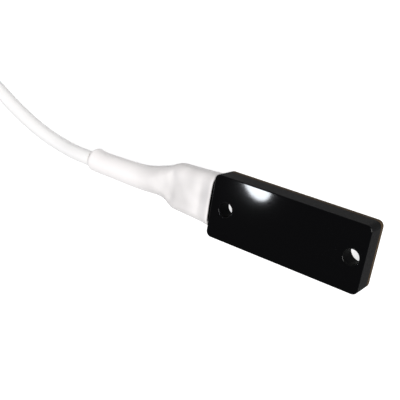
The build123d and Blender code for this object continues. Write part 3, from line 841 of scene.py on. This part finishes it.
def strand(name, points, radius=0.0, section=None):
    """A round strand along points, or a closed band with a section of its own, as a mesh."""
    made, spline = curve_along(name, "POLY", points)
    if section:
        spline.use_cyclic_u = True
        made.data.bevel_mode, made.data.bevel_object = "OBJECT", section
    else:
        made.data.bevel_depth, made.data.bevel_resolution = radius, STRAND_RESOLUTION
        made.data.use_fill_caps = True
    pick(made)
    bpy.ops.object.convert(target="MESH")
    return bpy.context.object


def ribbon_section(width, thickness):
    """The section of a tie's ribbon, as a closed curve."""
    outline = bpy.data.curves.new("ribbon", "CURVE")
    outline.dimensions = "2D"
    spline = outline.splines.new("POLY")
    spline.points.add(len(RIBBON) - 1)
    for point, (u, v) in zip(spline.points, RIBBON):
        point.co = (u * width, v * thickness, 0.0, 1.0)
    spline.use_cyclic_u = True
    section = bpy.data.objects.new("ribbon", outline)
    bpy.context.scene.collection.objects.link(section)
    return section


def band_loop(low, high, sizes):
    """Centre line of a tie's band around the hank, with four round corners."""
    thickness = sizes.tie_thickness
    x = high.x - sizes.tie_width / 2
    top = high.z - 2 * TWIST_R + thickness
    middle_y, half = (low.y + high.y) / 2, (high.y - low.y) / 2 - thickness / 2
    corner = sizes.cable_d / 2 + thickness / 2
    loop = []
    for i in range(4):
        centre_y = middle_y + (half - corner) * (1 if i in (0, 3) else -1)
        centre_z = (top - thickness / 2 - corner) if i in (0, 1) else thickness / 2 + corner
        for j in range(BAND_CORNER_STEPS + 1):
            angle = math.pi / 2 * (i + j / BAND_CORNER_STEPS)
            loop.append((x, centre_y + corner * math.cos(angle), centre_z + corner * math.sin(angle)))
    return loop


def twisted_end(low, high, start):
    """One of the two ends of a tie, which are twisted together and laid along the hank."""
    middle_y, reach = (low.y + high.y) / 2, TWIST_R - STRAND_R
    helix = []
    for i in range(TWIST_STEPS + 1):
        along = i / TWIST_STEPS
        angle = start + along * 2 * math.pi * TWIST_TURNS
        helix.append((high.x - STRAND_R - along * (high.x - low.x - 2 * STRAND_R),
                      middle_y + reach * math.cos(angle),
                      high.z - TWIST_R + reach * math.sin(angle)))
    return strand("twisted_end", helix, STRAND_R)


class CONTACT_OT_ties(bpy.types.Operator):
    """Wrap a wire tie around each side of the hank and twist its ends"""

    bl_idname = "contact.ties"
    bl_label = "Wire ties"

    def execute(self, context):
        colours, sizes = context.scene.contact_colours, context.scene.contact_sizes
        material = satin("tie_pvc", colours.tie, roughness=0.38, grain=0.6 * MM, specular=0.5)
        for side in TIES:
            low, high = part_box(f"hank_tie_{side}")
            section = ribbon_section(sizes.tie_width, sizes.tie_thickness)
            tie = strand(f"hank_tie_{side}_skin", band_loop(low, high, sizes), section=section)
            bpy.data.objects.remove(section, do_unlink=True)
            for start in (0, math.pi):
                end = twisted_end(low, high, start)
                pick(tie)
                end.select_set(True)
                bpy.ops.object.join()
            bpy.ops.object.shade_smooth_by_angle(angle=math.radians(TIE_SMOOTH))
            settle(tie, "sensor", "tie_black", material, f"hank_tie_{side}")
        return {"FINISHED"}


class CONTACT_OT_inside(bpy.types.Operator):
    """Finish the switch, its board, the cores and the other small pieces"""

    bl_idname = "contact.inside"
    bl_label = "Inside and bared end"

    def execute(self, context):
        colours = context.scene.contact_colours
        reed = bare_metal("plated_nickel_iron", colours.reed, roughness=0.3, grain=0.4 * MM)
        solder = bare_metal("reflowed_solder", colours.solder, roughness=0.35, grain=0.8 * MM)
        tinned = bare_metal("tinned_copper", colours.tinned, roughness=0.3, grain=0.5 * MM)
        glaze = satin("glazed_resistor", colours.resistor, roughness=0.25, grain=0.4 * MM, specular=0.5)
        nylon = satin("nylon_collar", colours.collar, roughness=0.4, grain=0.3 * MM, specular=0.5)
        finishes = {
            cast_resin(colours): ("potting_fill", "neck_resin"),
            masked_laminate(colours): ("circuit_board",),
            drawn_glass(colours): ("reed_glass",),
            reed: ("reed_lead_near", "reed_lead_far", "reed_blade_near", "reed_blade_far"),
            solder: ("solder_joints", "resistor_end_caps"),
            tinned: ("core_tips", "ferrule_pins"),
            glaze: ("resistor_bodies",),
            hot_melt(colours): ("sleeve_glue",),
            nylon: ("ferrule_collars",),
        }
        for name in CORES:
            insulation = extruded_pvc(f"{name}_core_pvc", getattr(colours, f"core_{name}"), roughness=0.35)
            finishes[insulation] = (f"core_{name}", f"tail_core_{name}")
        for material, names in finishes.items():
            for name in names:
                finish_node(name, material)
        return {"FINISHED"}


class CONTACT_OT_cable(bpy.types.Operator):
    """Lay the lead from the sleeve to its bared end"""

    bl_idname = "contact.cable"
    bl_label = "Lead"

    def execute(self, context):
        colours, sizes = context.scene.contact_colours, context.scene.contact_sizes
        cable, spline = curve_along("cable", "NURBS", ROUTE + hank_points(sizes.cable_d) + TAIL)
        spline.order_u = CABLE_ORDER
        spline.use_endpoint_u = True
        spline.resolution_u = CABLE_STEPS
        cable.data.bevel_depth = sizes.cable_d / 2
        cable.data.bevel_resolution = CABLE_RESOLUTION
        cable.data.use_fill_caps = True
        material = extruded_pvc("extruded_white_pvc", colours.jacket)
        cable.data.materials.append(material)
        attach(cable, "sensor")
        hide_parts("cable_jacket", "cable_hank", "cable_tail")
        carried = ["ferrule_collars", "ferrule_pins"]
        carried += [f"tail_core_{name}" for name in CORES]
        pieces = [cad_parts[name] for name in carried]
        pieces += [bpy.data.objects[f"hank_tie_{side}_skin"] for side in TIES]
        finish_node("lead_in_sleeve", material)
        return {"FINISHED"}


# ---- Studio ------------------------------------------------------------------------------------

FLOOR_R = 1.3
FLOOR_STEPS = 96
SWEEP = ((0.02, 1.10), (0.08, 1.06), (0.20, 1.03), (0.35, 1.0))  # rise and spread of each step of the wall
CARD_GLOW = 0.75  # of the card where the camera sees it, straight or in a mirror
WORLD_STRENGTH = 0.12
CENTRE = Vector((-0.03, 0.0, 0.0))
KEY_PLACE = CENTRE + Vector((0.62, 0.14, 0.88))
WINDOW_PLACE = CENTRE + Vector((-1.0, -0.22, 0.42))
SPOT_PLACE = Vector((-0.2842, -0.1462, 0.515))
SPOT_TARGET = Vector((-0.009, 0.009, FRONT_Z))  # where its mirror image shows on the front face
COOL = (0.85, 0.9, 1.0)
SLIGHTLY_COOL = (0.9, 0.95, 1.0)
CAMERA_PLACE = Vector((0.07423, 0.05954, 0.16529))
CAMERA_TARGET = Vector((-0.03439, -0.00291, 0.0))
CAMERA_ROLL = -105.225  # degrees
CAMERA_LENS = 58.3  # millimetres, like the sensor
CAMERA_SENSOR = 36.0
CAMERA_NEAR = 0.01


def studio_white(colours):
    """Matt white studio card. It shows white behind the object and keeps its shadow."""
    material, tree, surface = new_material("studio_card", Base_Color=colours.backdrop, Roughness=0.9,
                                           Specular_IOR_Level=0.0)
    rays = add_node(tree, "ShaderNodeLightPath").outputs
    seen = math_node(tree, "MAXIMUM", rays["Is Camera Ray"], rays["Is Glossy Ray"])
    seen = math_node(tree, "MAXIMUM", seen, rays["Is Transmission Ray"])
    tree.links.new(math_node(tree, "MULTIPLY", seen, CARD_GLOW), surface.inputs["Emission Strength"])
    surface.inputs["Emission Color"].default_value = WHITE
    return material


def sweep(colours):
    """A round floor with a low wall that curves up around it."""
    deselect()
    bpy.ops.mesh.primitive_circle_add(vertices=FLOOR_STEPS, radius=FLOOR_R, fill_type="NGON",
                                      location=(0, 0, 0))
    floor = bpy.context.object
    floor.name = "studio_sweep"
    bpy.ops.object.mode_set(mode="EDIT")
    bpy.ops.mesh.select_mode(type="EDGE")
    bpy.ops.mesh.select_all(action="SELECT")
    for rise, spread in SWEEP:
        bpy.ops.mesh.extrude_edges_move(TRANSFORM_OT_translate={"value": (0, 0, rise)})
        bpy.ops.transform.resize(value=(spread, spread, 1))
    bpy.ops.object.mode_set(mode="OBJECT")
    floor.data.materials.append(studio_white(colours))
    bpy.ops.object.shade_smooth()


def surroundings():
    """An even white light from all sides."""
    world = bpy.data.worlds.new("studio")
    world.use_nodes = True
    background = world.node_tree.nodes["Background"]
    background.inputs["Color"].default_value = WHITE
    background.inputs["Strength"].default_value = WORLD_STRENGTH
    return world


def lamp(name, place, target, width, height, watts, tint=WHITE[:3], turn=0.0, shape="RECTANGLE"):
    """A soft lamp that faces a point, turned about its own axis by some degrees."""
    bpy.ops.object.light_add(type="AREA", location=place)
    light = bpy.context.object
    light.name = name
    light.data.shape = shape
    light.data.size, light.data.size_y = width, height
    light.data.energy = watts
    light.data.color = tint
    facing = (target - place).to_track_quat("-Z", "Y").to_matrix()
    light.rotation_euler = (facing @ Matrix.Rotation(math.radians(turn), 3, "Z")).to_euler()


def camera():
    """The camera, rolled about its own axis."""
    made = bpy.data.objects.new("camera", bpy.data.cameras.new("camera"))
    bpy.context.scene.collection.objects.link(made)
    made.data.lens = CAMERA_LENS
    made.data.sensor_width = CAMERA_SENSOR
    made.data.clip_start = CAMERA_NEAR
    made.location = CAMERA_PLACE
    facing = (CAMERA_TARGET - CAMERA_PLACE).to_track_quat("-Z", "Y")
    roll = Matrix.Rotation(math.radians(CAMERA_ROLL), 4, "Z")
    made.rotation_euler = (facing.to_matrix().to_4x4() @ roll).to_euler()
    return made


class CONTACT_OT_studio(bpy.types.Operator):
    """Set the floor, the lamps and the camera"""

    bl_idname = "contact.studio"
    bl_label = "Studio"

    def execute(self, context):
        scene = context.scene
        sweep(scene.contact_colours)
        scene.world = surroundings()
        lamp("key", KEY_PLACE, CENTRE, width=0.6, height=0.6, watts=15.5)
        lamp("window", WINDOW_PLACE, CENTRE, width=0.22, height=0.12, watts=0.9, tint=COOL)
        lamp("spot", SPOT_PLACE, SPOT_TARGET, width=0.028, height=0.043, watts=0.27, tint=SLIGHTLY_COOL,
             turn=100, shape="ELLIPSE")
        scene.camera = camera()
        scene.view_settings.view_transform = "Standard"
        return {"FINISHED"}


class CONTACT_PT_panel(bpy.types.Panel):
    """Lists the steps that make the contact."""

    bl_label = "Door contact"
    bl_idname = "CONTACT_PT_panel"
    bl_space_type = "VIEW_3D"
    bl_region_type = "UI"
    bl_category = "Contact"

    def draw(self, context):
        for step in STEPS:
            self.layout.operator(step.bl_idname)
        for group in (context.scene.contact_sizes, context.scene.contact_colours):
            box = self.layout.box()
            for name in group.__annotations__:
                box.prop(group, name)


STEPS = (
    CONTACT_OT_housing,
    CONTACT_OT_cover,
    CONTACT_OT_sleeve,
    CONTACT_OT_ties,
    CONTACT_OT_inside,
    CONTACT_OT_cable,
    CONTACT_OT_studio,
)
CLASSES = (ContactSizes, ContactColours, *STEPS, CONTACT_PT_panel)


def register():
    for cls in CLASSES:
        bpy.utils.register_class(cls)
    bpy.types.Scene.contact_sizes = bpy.props.PointerProperty(type=ContactSizes)
    bpy.types.Scene.contact_colours = bpy.props.PointerProperty(type=ContactColours)


def unregister():
    del bpy.types.Scene.contact_colours
    del bpy.types.Scene.contact_sizes
    for cls in reversed(CLASSES):
        bpy.utils.unregister_class(cls)


def main():
    """Makes every piece in order."""
    register()
    for step in STEPS:
        group, name = step.bl_idname.split(".")
        getattr(getattr(bpy.ops, group), name)()


if __name__ == "__main__":
    main()
